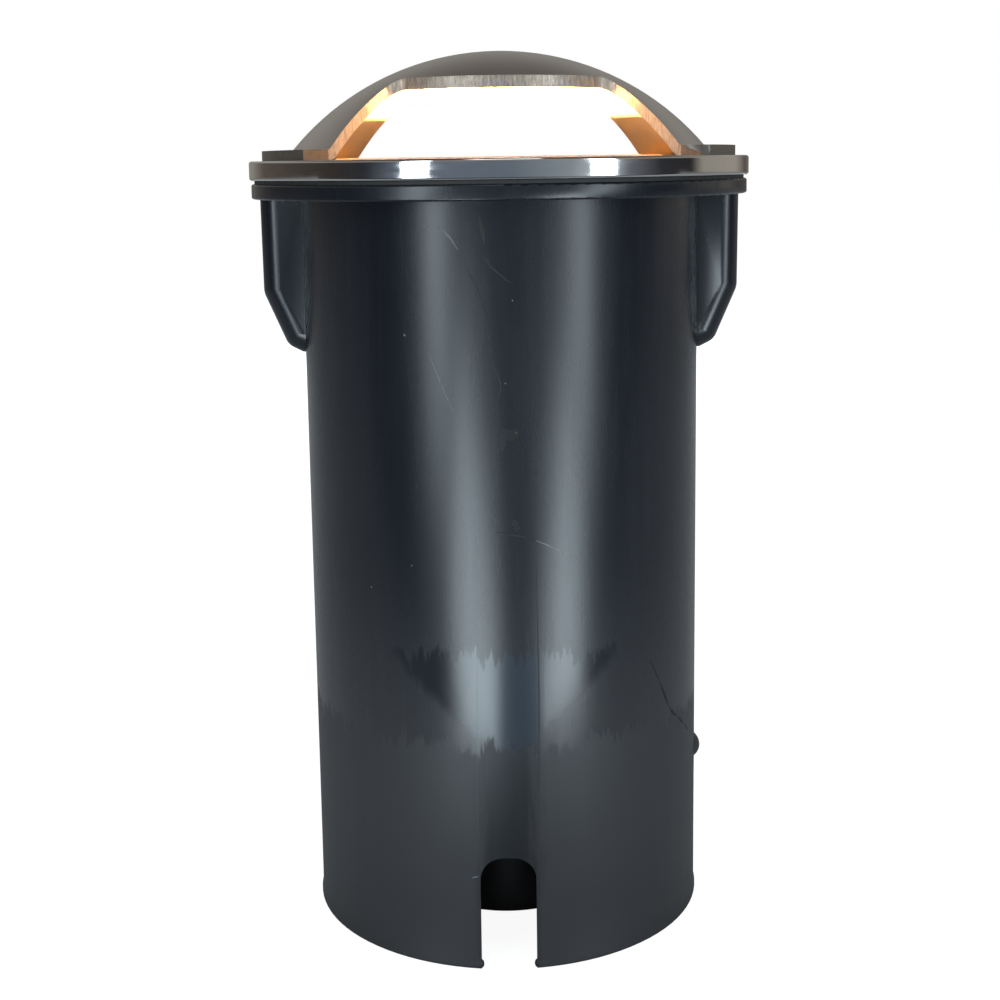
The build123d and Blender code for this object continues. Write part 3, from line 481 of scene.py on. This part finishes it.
# ---------------------------------------------------------------- lamp housing and wiring base
# A turned pot with a flange and ring fins that shed the heat, and the drum below it with the
# wiring space. Both are aluminium under dark grey powder paint, with the fine orange-peel skin of
# baked paint.
paint = Finish("painted_casting")
peel = paint.noise(paint.place(), 1500.0, 3.0, 0.6)
drift = paint.noise(paint.place(), 35.0, 3.0)
tone = paint.blend(drift, (0.050, 0.051, 0.053, 1), (0.072, 0.073, 0.075, 1))
wear(paint.shine(paint.coated(
    Base_Color=tone, Roughness=paint.ramp(peel, 0.3, 0.7, 0.42, 0.55), IOR=1.5,
    Normal=paint.bump(peel, 0.00006, 0.5))), "lamp_housing", "wiring_base")

# ---------------------------------------------------------------- light source
# A square board with a round phosphor emitter, stuck to a grey thermal pad and clamped under a
# white nylon holder by two screws. Two insulated leads run down through the pot's floor.
pad = Finish("grey_pad")
fibre = pad.noise(pad.place(), 2500.0, 4.0)
tone = pad.blend(fibre, (0.22, 0.23, 0.25, 1), (0.36, 0.37, 0.39, 1))
wear(pad.shine(pad.coated(Base_Color=tone, Roughness=0.85, Normal=pad.bump(fibre, 0.00004, 0.5))),
     "thermal_pad")

board = Finish("led_board")
mask = board.noise(board.place(), 600.0, 2.0)
tone = board.blend(mask, (0.72, 0.72, 0.70, 1), (0.82, 0.82, 0.80, 1))
wear(board.shine(board.coated(Base_Color=tone, Roughness=0.35,
                              Normal=board.bump(mask, 0.00002, 0.3))), "led_board")

phosphor = Finish("emitter")
dies = phosphor.add("TexVoronoi", {"feature": "F1", "distance": "CHEBYCHEV"},
                    Vector=phosphor.place(), Scale=900.0, Randomness=0.0)
glow = phosphor.blend(phosphor.ramp(dies, 0.2, 0.5), (1.0, 0.78, 0.38, 1), (1.0, 0.62, 0.20, 1))
wear(phosphor.shine(phosphor.coated(Base_Color=(0.85, 0.62, 0.12, 1), Roughness=0.4,
                                    Emission_Color=glow, Emission_Strength=2.5)), "led_emitter")

nylon = Finish("white_plastic")
milk = nylon.noise(nylon.place(), 120.0, 3.0)
tone = nylon.blend(milk, (0.70, 0.69, 0.66, 1), (0.78, 0.77, 0.74, 1))
wear(nylon.shine(nylon.coated(Base_Color=tone, Roughness=nylon.ramp(milk, 0.3, 0.7, 0.32, 0.45),
                              IOR=1.53)), "led_holder")

lead = Finish("lead_insulation")
crease = lead.noise(lead.place(), 500.0, 3.0)
right_lead = lead.math("GREATER_THAN", lead.numbers(lead.place())[0], 0.0)
tone = lead.blend(right_lead, (0.035, 0.035, 0.037, 1), (0.45, 0.025, 0.018, 1))
wear(lead.shine(lead.coated(Base_Color=tone, Roughness=lead.ramp(crease, 0.3, 0.7, 0.35, 0.5),
                            Normal=lead.bump(crease, 0.00004, 0.3))), "led_leads")


def upward_light(name, size, energy, colour, z):
    """A round light inside the lamp that shines up from this height and isn't seen itself."""
    light = bpy.data.lights.new(name, "AREA")
    light.shape = "DISK"
    light.size = size
    light.energy = energy
    light.color = colour
    beam = bpy.data.objects.new(name, light)
    scene.collection.objects.link(beam)
    beam.matrix_world = Matrix.Translation((0, 0, z)) @ Matrix.Rotation(pi, 4, "X")
    beam.visible_camera = False
    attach(beam, "lamp")
    return beam


upward_light("led_beam", size=0.006, energy=8.0, colour=(1.0, 0.60, 0.27), z=0.1388)
# light that the lens scatters sideways, which tints the cover's legs
halo = upward_light("lens_spill", size=0.060, energy=0.0300, colour=(1.0, 0.38, 0.05), z=0.1756)
halo.visible_glossy = False
halo.visible_transmission = False

# ---------------------------------------------------------------- reflector
# A cup spun from bright anodised aluminium, with faint spinning rings and a rolled rim that lies
# on the baffle plate.
spun = Finish("bright_aluminium")
rings = spun.noise(spun.round_place((1.5, 9000.0, 9000.0)), 1.0, 2.0)
tone = spun.blend(rings, (0.82, 0.83, 0.84, 1), (0.92, 0.92, 0.92, 1))
wear(spun.shine(spun.coated(
    Base_Color=tone, Metallic=1.0, Roughness=spun.ramp(rings, 0.3, 0.7, 0.07, 0.14),
    Normal=spun.bump(rings, 0.00001, 0.3))), "reflector")

# ---------------------------------------------------------------- baffle plate
# A black anodised aluminium disc, turned from sheet. It rests on a ledge in the pot and hides the
# chamber round the reflector's mouth.
anodised = Finish("black_baffle")
haze = anodised.noise(anodised.place(), 80.0, 4.0)
tone = anodised.blend(haze, (0.014, 0.014, 0.015, 1), (0.024, 0.024, 0.025, 1))
wear(anodised.shine(anodised.coated(
    Base_Color=tone, Roughness=anodised.ramp(haze, 0.3, 0.7, 0.42, 0.55), IOR=1.6)), "baffle_plate")

# ---------------------------------------------------------------- lens
# Stepped tempered glass, cast and polished clear, with a ground and rounded upper edge. Its step
# is clamped in the channel gasket under the ring.
on_surface = 3e-5             # a packed corner this near to a true surface is taken to lie on it
level_face = 0.99999


def read(items, key, width=3, kind=float):
    """One property of all of a mesh's vertices, corners or faces, a row for each."""
    values = np.empty(len(items) * width, kind)
    items.foreach_get(key, values)
    return values.reshape(-1, width) if width > 1 else values


def joined_copy(node_name, materials, true_normals):
    """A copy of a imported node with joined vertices, shaded by its real surface: true_normals takes
    corner points, face normals and smoothed normals and gives the normals that it has there.
    Level faces keep the normal (0, 0, +-1)."""
    mesh = frame["nodes"][node_name].data.copy()
    mesh.name = node_name + "_shaded"
    joined = bmesh.new()
    joined.from_mesh(mesh)
    bmesh.ops.remove_doubles(joined, verts=joined.verts, dist=same_point)
    joined.to_mesh(mesh)
    joined.free()
    mesh.materials.clear()
    for material in materials:
        mesh.materials.append(material)
    mesh.polygons.foreach_set("use_smooth", np.ones(len(mesh.polygons), bool))
    mesh.set_sharp_from_angle(angle=radians(crisp_angle))
    corners = read(mesh.vertices, "co")[read(mesh.loops, "vertex_index", 1, np.int32)]
    smoothed = read(mesh.corner_normals, "vector")
    sides = read(mesh.polygons, "loop_total", 1, np.int32)
    facing = np.repeat(read(mesh.polygons, "normal"), sides, axis=0)
    level = np.abs(facing[:, 2]) > level_face
    normals = np.where(level[:, None], facing, true_normals(corners, facing, smoothed))
    mesh.normals_split_custom_set(normals)
    piece = bpy.data.objects.new(mesh.name, mesh)
    scene.collection.objects.link(piece)
    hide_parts(node_name)
    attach(piece, frame["nodes"][node_name]["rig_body"])
    return piece


def rim_rule(r, low, high, edge_round):
    """True normals of a turned edge: away from the nearest point (r0, z0) of its section's core,
    n = (r - r0, z - z0) / edge_round; elsewhere the smoothed ones."""
    def normals(points, facing, smoothed):
        reach = np.maximum(np.hypot(points[:, 0], points[:, 1]), 1e-9)
        out = reach - (r - edge_round)
        rise = points[:, 2] - np.clip(points[:, 2], low + edge_round, high - edge_round)
        length = np.maximum(np.hypot(out, rise), 1e-9)
        rim = (out > -same_point) & (np.abs(length - edge_round) < on_surface)
        curved = np.stack([points[:, 0] / reach * out, points[:, 1] / reach * out, rise], axis=1)
        return np.where(rim[:, None], curved / length[:, None], smoothed)
    return normals


lens_face_r = 0.0378
lens_round = 0.0008
lens_edge_height = 0.0012     # of the ground band below the lens's top
lens_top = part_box("lens")[1][2]
glass = Finish("lens_glass")
path = glass.add("LightPath").node.outputs
clear = glass.coated(Base_Color=(0.97, 0.99, 0.98, 1), Roughness=0.0, IOR=1.5,
                     Transmission_Weight=1.0)
# shadow rays go straight through, so that the lamp's beam reaches the cover
through = glass.add("BsdfTransparent", Color=(0.95, 0.95, 0.95, 1))
lens_glass = glass.shine(glass.add("MixShader", i0=path["Is Shadow Ray"], i1=clear, i2=through))
edge = Finish("ground_edge_painted_glow")
grit = edge.noise(edge.place(), 1500.0, 3.0)
# the grit is real, and the warm pink of the colour is a painted glow of the lamp's warm light in the
# glass edge
tone = edge.blend(grit, (0.62, 0.50, 0.45, 1), (0.80, 0.68, 0.62, 1))
ground_edge_painted_glow = edge.shine(edge.coated(Base_Color=tone, Roughness=0.45, IOR=1.5))
lens = joined_copy("lens", [lens_glass, ground_edge_painted_glow],
                   rim_rule(lens_face_r, lens_top - 0.002, lens_top, lens_round))
middle = read(lens.data.polygons, "center")
on_edge = ((np.hypot(middle[:, 0], middle[:, 1]) > lens_face_r - lens_round)
           & (middle[:, 2] > lens_top - lens_edge_height))
lens.data.polygons.foreach_set("material_index", on_edge.astype(np.int32))

# ---------------------------------------------------------------- polished ring
# Turned stainless steel, polished to a mirror with fine marks round its edge, held down by four
# countersunk screws.
(_, _, ring_bottom), (ring_r, _, ring_top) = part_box("bezel_ring")
ring_round = 0.0006
mirror = Finish("polished_stainless")
lines = mirror.noise(mirror.round_place((2.5, 14000.0, 14000.0)), 1.0, 3.0, 0.6)
patches = mirror.noise(mirror.round_place((14.0, 200.0, 900.0)), 1.0, 4.0, 0.6)
tone = mirror.blend(patches, (0.60, 0.59, 0.575, 1), (0.68, 0.67, 0.655, 1))
polished_stainless = mirror.shine(mirror.coated(
    Base_Color=tone, Metallic=1.0, Roughness=mirror.ramp(patches, 0.35, 0.75, 0.06, 0.13),
    Normal=mirror.bump(lines, 0.000004, 0.25)))
ring = joined_copy("bezel_ring", [polished_stainless],
                   rim_rule(ring_r, ring_bottom, ring_top, ring_round))


def turned_edge(name, r, low, high, edge_round, depth, material, body, columns=720):
    """A rim turned round Z: its closed section is a side, two quarter rounds c + e (cos b, sin b)
    and a return inside the metal, and each row r(s), z(s) runs round all angles."""
    quarter = np.linspace(0, pi / 2, 9)
    rise = np.concatenate([-quarter[::-1], quarter])
    section_r = r - edge_round + edge_round * np.cos(rise)
    centre = np.where(np.arange(len(rise)) < len(quarter), low + edge_round, high - edge_round)
    section_z = centre + edge_round * np.sin(rise)
    section_r = np.concatenate([[r - depth], section_r, [r - depth]])
    section_z = np.concatenate([[low], section_z, [high]])
    a = np.linspace(0, 2 * pi, columns, endpoint=False)
    grid = np.stack([section_r[:, None] * np.cos(a), section_r[:, None] * np.sin(a),
                     np.repeat(section_z[:, None], columns, axis=1)], axis=-1)
    rim = sheet(name, np.concatenate([grid, grid[:1]]), material, body, wrap=True)
    weld_points(rim, 0.1 * same_point)
    keep_crisp(rim, 50.0)
    return rim


# a smoothly turned skin over the ring's faceted rim
rim_skin = 0.000003
rim_depth = 0.0014
ring_edge = turned_edge(
    "ring_edge", ring_r + rim_skin, ring_bottom - rim_skin, ring_top + rim_skin, ring_round,
    rim_depth, polished_stainless, "lamp")

# the low panels and the one behind light the sleeve only: ring, lens and cover would mirror them
shaded_metal = bpy.data.collections.new("shaded_metal")
for panel in (low_left, low_right, behind):
    panel.light_linking.receiver_collection = shaded_metal
shaded_metal.objects.link(ring)

fastener = Finish("stainless_fasteners")
rolled = fastener.noise(fastener.place((900.0, 900.0, 2500.0)), 1.0, 3.0)
tone = fastener.blend(rolled, (0.46, 0.45, 0.44, 1), (0.60, 0.59, 0.57, 1))
stainless_fasteners = fastener.shine(fastener.coated(
    Base_Color=tone, Metallic=1.0, Roughness=fastener.ramp(rolled, 0.3, 0.7, 0.18, 0.34),
    Normal=fastener.bump(rolled, 0.00001, 0.3)))
wear(stainless_fasteners, "ring_screws", "base_screws", "holder_screws")

# ---------------------------------------------------------------- driver tube and cap
# The tube under the base that holds the driver, and its push-in cap: glass-filled nylon, satin
# black, with the swirl that such a moulding has near its gate.
filled = Finish("black_tube")
swirl = filled.noise(filled.place((40.0, 40.0, 120.0)), 1.0, 5.0, 0.7)
fibres = filled.noise(filled.place(), 1400.0, 3.0)
tone = filled.blend(swirl, (0.012, 0.012, 0.013, 1), (0.026, 0.026, 0.027, 1))
wear(filled.shine(filled.coated(
    Base_Color=tone, Roughness=filled.ramp(swirl, 0.3, 0.7, 0.36, 0.5), IOR=1.5,
    Normal=filled.bump(fibres, 0.00003, 0.4))), "driver_tube", "tube_cap")

# ---------------------------------------------------------------- driver board
# A green glass-fibre board upright in the tube, with its tracks under the lacquer, and what stands
# on it: sleeved capacitors, a wound choke, a bridge rectifier and a terminal block.
laminate = Finish("circuit_board")
weave = laminate.add("TexChecker", i0=laminate.place(), i1=(0.010, 0.085, 0.030, 1),
                     i2=(0.014, 0.11, 0.04, 1), i3=1600.0)
tracks = laminate.add("TexBrick", Vector=laminate.place((160.0, 160.0, 160.0)), Scale=1.0,
                      Color1=(0, 0, 0, 1), Color2=(0, 0, 0, 1), Mortar=(1, 1, 1, 1),
                      Mortar_Size=0.06)
tone = laminate.blend(laminate.math("MULTIPLY", tracks, 0.55), weave, (0.05, 0.22, 0.08, 1))
wear(laminate.shine(laminate.coated(Base_Color=tone, Roughness=0.3, IOR=1.5,
                                    Normal=laminate.bump(tracks, 0.00004, 0.5))), "driver_board")


def component(name, low, high, rough, metal=0.0, scale=500.0, stretch=(1.0, 1.0, 1.0)):
    """Finish of one kind of component, mottled between two colours."""
    part = Finish(name)
    vary = part.noise(part.place(stretch), scale, 3.0)
    tone = part.blend(vary, (*low, 1), (*high, 1))
    return part.shine(part.coated(
        Base_Color=tone, Metallic=metal, Roughness=part.ramp(vary, 0.3, 0.7, rough, rough + 0.12),
        Normal=part.bump(vary, 0.00004, 0.4)))


can_sleeve, can_top, winding, epoxy, terminals = range(5)
component_finishes = [
    component("can_sleeve", (0.012, 0.022, 0.060), (0.018, 0.034, 0.085), 0.25),
    component("can_top", (0.55, 0.55, 0.56), (0.70, 0.70, 0.71), 0.25, metal=1.0),
    component("copper_winding", (0.50, 0.20, 0.09), (0.75, 0.34, 0.17), 0.25, metal=1.0, scale=1.0,
              stretch=(2500.0, 2500.0, 2500.0)),
    component("black_epoxy", (0.012, 0.012, 0.013), (0.022, 0.022, 0.024), 0.35),
    component("green_terminals", (0.010, 0.13, 0.045), (0.016, 0.17, 0.060), 0.35)]
on_board = frame["nodes"]["driver_components"]
on_board.data.materials.clear()
for finish in component_finishes:
    on_board.data.materials.append(finish)
middle, facing = (read(on_board.data.polygons, key) for key in ("center", "normal"))

# heights above the board's lower end at which one kind gives way to the next
choke_from, bridge_from, terminals_from = 0.0245, 0.041, 0.0575
end_face = 0.9                # a can's ends face the board and away from it
above = middle[:, 2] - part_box("driver_board")[0][2]
round_part = above < bridge_from
choke_part = round_part & (middle[:, 0] < 0) & (above > choke_from)
kind = np.where(round_part, can_sleeve, np.where(above < terminals_from, epoxy, terminals))
kind = np.where(round_part & (np.abs(facing[:, 1]) > end_face), can_top, kind)
kind = np.where(choke_part, winding, kind)
on_board.data.polygons.foreach_set("material_index", kind.astype(np.int32))
smooth_faces(on_board)

# ---------------------------------------------------------------- cable gland
# A grey-black nylon gland in the wiring base's floor: a body with a hexagon and the nut that
# squeezes its seal, held by a locknut inside.
polyamide = Finish("gland_nylon")
mottle = polyamide.noise(polyamide.place(), 260.0, 4.0)
tone = polyamide.blend(mottle, (0.020, 0.020, 0.021, 1), (0.034, 0.034, 0.035, 1))
wear(polyamide.shine(polyamide.coated(
    Base_Color=tone, Roughness=polyamide.ramp(mottle, 0.3, 0.7, 0.34, 0.46), IOR=1.53,
    Normal=polyamide.bump(mottle, 0.00003, 0.3))), "gland_body", "gland_nut", "gland_locknut")

# ---------------------------------------------------------------- domed cover
# Stainless sheet pressed to a sphere and ground to a fine satin, with its two windows sheared out,
# so each cut edge is bright and marked with fine lines across the sheet.
(_, _, cover_underside), (_, _, dome_top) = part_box("dome_cover")
cover_thickness = 0.00225
dome_foot_r = 0.04715
dome_rise = dome_top - cover_underside - cover_thickness
dome_r = (dome_foot_r ** 2 + dome_rise ** 2) / (2 * dome_rise)
dome_centre = np.array([0.0, 0.0, dome_top - dome_r])
along_radius = 0.9            # cosine from which a face belongs to one of the sphere's skins


def dome_normals(points, facing, smoothed):
    """On the sphere's two skins, n = +-(p - c) / |p - c|; elsewhere the smoothed normal."""
    out = points - dome_centre
    reach = np.linalg.norm(out, axis=1)
    out /= reach[:, None]
    lean = (out * facing).sum(axis=1)
    outer = (np.abs(reach - dome_r) < on_surface) & (lean > along_radius)
    inner = (np.abs(reach - dome_r + cover_thickness) < on_surface) & (lean < -along_radius)
    return np.where(outer[:, None], out, np.where(inner[:, None], -out, smoothed))


satin = Finish("satin_stainless")
ground = satin.noise(satin.place((5200.0, 900.0, 900.0)), 1.0, 3.0, 0.6)
stain = satin.noise(satin.place(), 55.0, 4.0, 0.55)
tone = satin.blend(stain, (0.50, 0.485, 0.46, 1), (0.60, 0.585, 0.56, 1))
satin_stainless = satin.shine(satin.coated(
    Base_Color=tone, Metallic=1.0, Roughness=satin.ramp(stain, 0.3, 0.7, 0.29, 0.36),
    Normal=satin.bump(ground, 0.000012, 0.35)))

sheared = Finish("sheared_edge")
across_sheet = sheared.noise(sheared.place((2200.0, 2200.0, 420.0)), 1.0, 4.0, 0.7)
coarse = sheared.noise(sheared.place((420.0, 420.0, 900.0)), 1.0, 3.0, 0.6)
tone = sheared.blend(sheared.ramp(across_sheet, 0.3, 0.7),
                     (0.26, 0.222, 0.185, 1), (0.70, 0.60, 0.505, 1))
sheared_edge = sheared.shine(sheared.coated(
    Base_Color=tone, Metallic=0.75, Roughness=sheared.ramp(coarse, 0.3, 0.7, 0.42, 0.60),
    Normal=sheared.bump(sheared.math("ADD", across_sheet, coarse), 0.00008, 0.6)))

blanked = Finish("blanked_edge")
torn = blanked.noise(blanked.place((900.0, 900.0, 500.0)), 1.0, 4.0, 0.6)
tone = blanked.blend(torn, (0.13, 0.115, 0.10, 1), (0.27, 0.24, 0.21, 1))
blanked_edge = blanked.shine(blanked.coated(
    Base_Color=tone, Metallic=0.8, Roughness=blanked.ramp(torn, 0.3, 0.7, 0.35, 0.5),
    Normal=blanked.bump(torn, 0.00005, 0.5)))

# the inner face is as rolled, and its colour is a painted warm straw orange: painted light for
# the warm light that goes to and fro under the cover
inside = Finish("rolled_inside_painted_light")
rolled = inside.noise(inside.place((500.0, 2600.0, 900.0)), 1.0, 4.0, 0.6)
tone = inside.blend(rolled, (0.62, 0.46, 0.29, 1), (0.74, 0.56, 0.36, 1))
rolled_inside_painted_light = inside.shine(inside.coated(
    Base_Color=tone, Metallic=1.0, Roughness=inside.ramp(rolled, 0.3, 0.7, 0.36, 0.44),
    Normal=inside.bump(rolled, 0.00002, 0.4)))

skin_face, window_edge, lug_edge, inner_face = range(4)
dome = joined_copy("dome_cover", [satin_stainless, sheared_edge, blanked_edge, rolled_inside_painted_light],
                   dome_normals)
for piece in (dome, lens, ring_edge):
    shaded_metal.objects.link(piece)
for member in shaded_metal.collection_objects:
    member.light_linking.link_state = "EXCLUDE"

lug_from = 0.0490             # from the axis
screw_circle_r = 0.0505
screw_hole_reach = 0.004
upright, overhanging = 0.05, -0.2   # heights of a face's normal
middle, facing = (read(dome.data.polygons, key) for key in ("center", "normal"))
from_screw = np.hypot(np.abs(middle[:, 0]) - screw_circle_r, middle[:, 1])
cut = (np.abs(facing[:, 2]) < upright) & (from_screw > screw_hole_reach)
at_lug = np.hypot(middle[:, 0], middle[:, 1]) > lug_from
under = (facing[:, 2] < overhanging) & ~at_lug
kind = np.where(under, inner_face, skin_face)
kind = np.where(cut, np.where(at_lug, lug_edge, window_edge), kind)
dome.data.polygons.foreach_set("material_index", kind.astype(np.int32))


# ---------------------------------------------------------------- cover screws
# Two flat-headed stainless screws with a hexagon socket and a rolled thread, which go through the
# cover's lugs into the brass inserts.
head_r, shank_r, screw_length = 0.0029, 0.0015, 0.016
socket_flat, socket_depth = 0.0010, 0.0011
pitch, thread_depth, thread_run_out = 0.0005, 0.00028, 0.0008
broken_edge = 0.0001
head_bottom = -(head_r - shank_r)
point_height, point_r = 0.0003, 0.0010


def cover_screw(name, x):
    """Socket floor, hexagon wall, head, cone and thread as one surface of rows r(t, a), z(t).
    The thread's radius is r - d |2 frac(z / p - a / 2 pi) - 1|, and the socket's is s / cos."""
    a = np.linspace(0, 2 * pi, 72, endpoint=False)
    hexagon = socket_flat / np.cos(np.mod(a, pi / 3) - pi / 6)
    head = ((0.02 * hexagon, -socket_depth), (hexagon, -socket_depth), (hexagon, -socket_depth),
            (hexagon, 0.0), (hexagon, 0.0), (head_r - broken_edge, 0.0), (head_r, -broken_edge),
            (shank_r + broken_edge, head_bottom + broken_edge))
    thread_z = np.arange(head_bottom, -screw_length + point_height, -pitch / 10)[:, None]
    wave = np.abs(2 * np.mod(thread_z / pitch - a / (2 * pi), 1.0) - 1)
    fade = np.minimum(1.0, (head_bottom - thread_z) / thread_run_out)
    point = ((point_r + broken_edge, -screw_length + broken_edge), (point_r, -screw_length),
             (0.00002, -screw_length))
    r = np.concatenate([[row + 0 * a for row, _ in head], shank_r - thread_depth * fade * wave,
                        [row + 0 * a for row, _ in point]])
    z = np.concatenate([[z for _, z in head], thread_z[:, 0], [z for _, z in point]])
    z = np.repeat(z[:, None], len(a), axis=1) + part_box(name)[1][2]
    grid = np.stack([x + r * np.cos(a), r * np.sin(a), z], axis=-1)
    piece = sheet(name + "_threaded", grid, stainless_fasteners, name.replace("cover_", ""),
                  wrap=True)
    keep_crisp(piece, 32.0)
    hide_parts(name)


cover_screw("cover_screw_left", -screw_circle_r)
cover_screw("cover_screw_right", screw_circle_r)
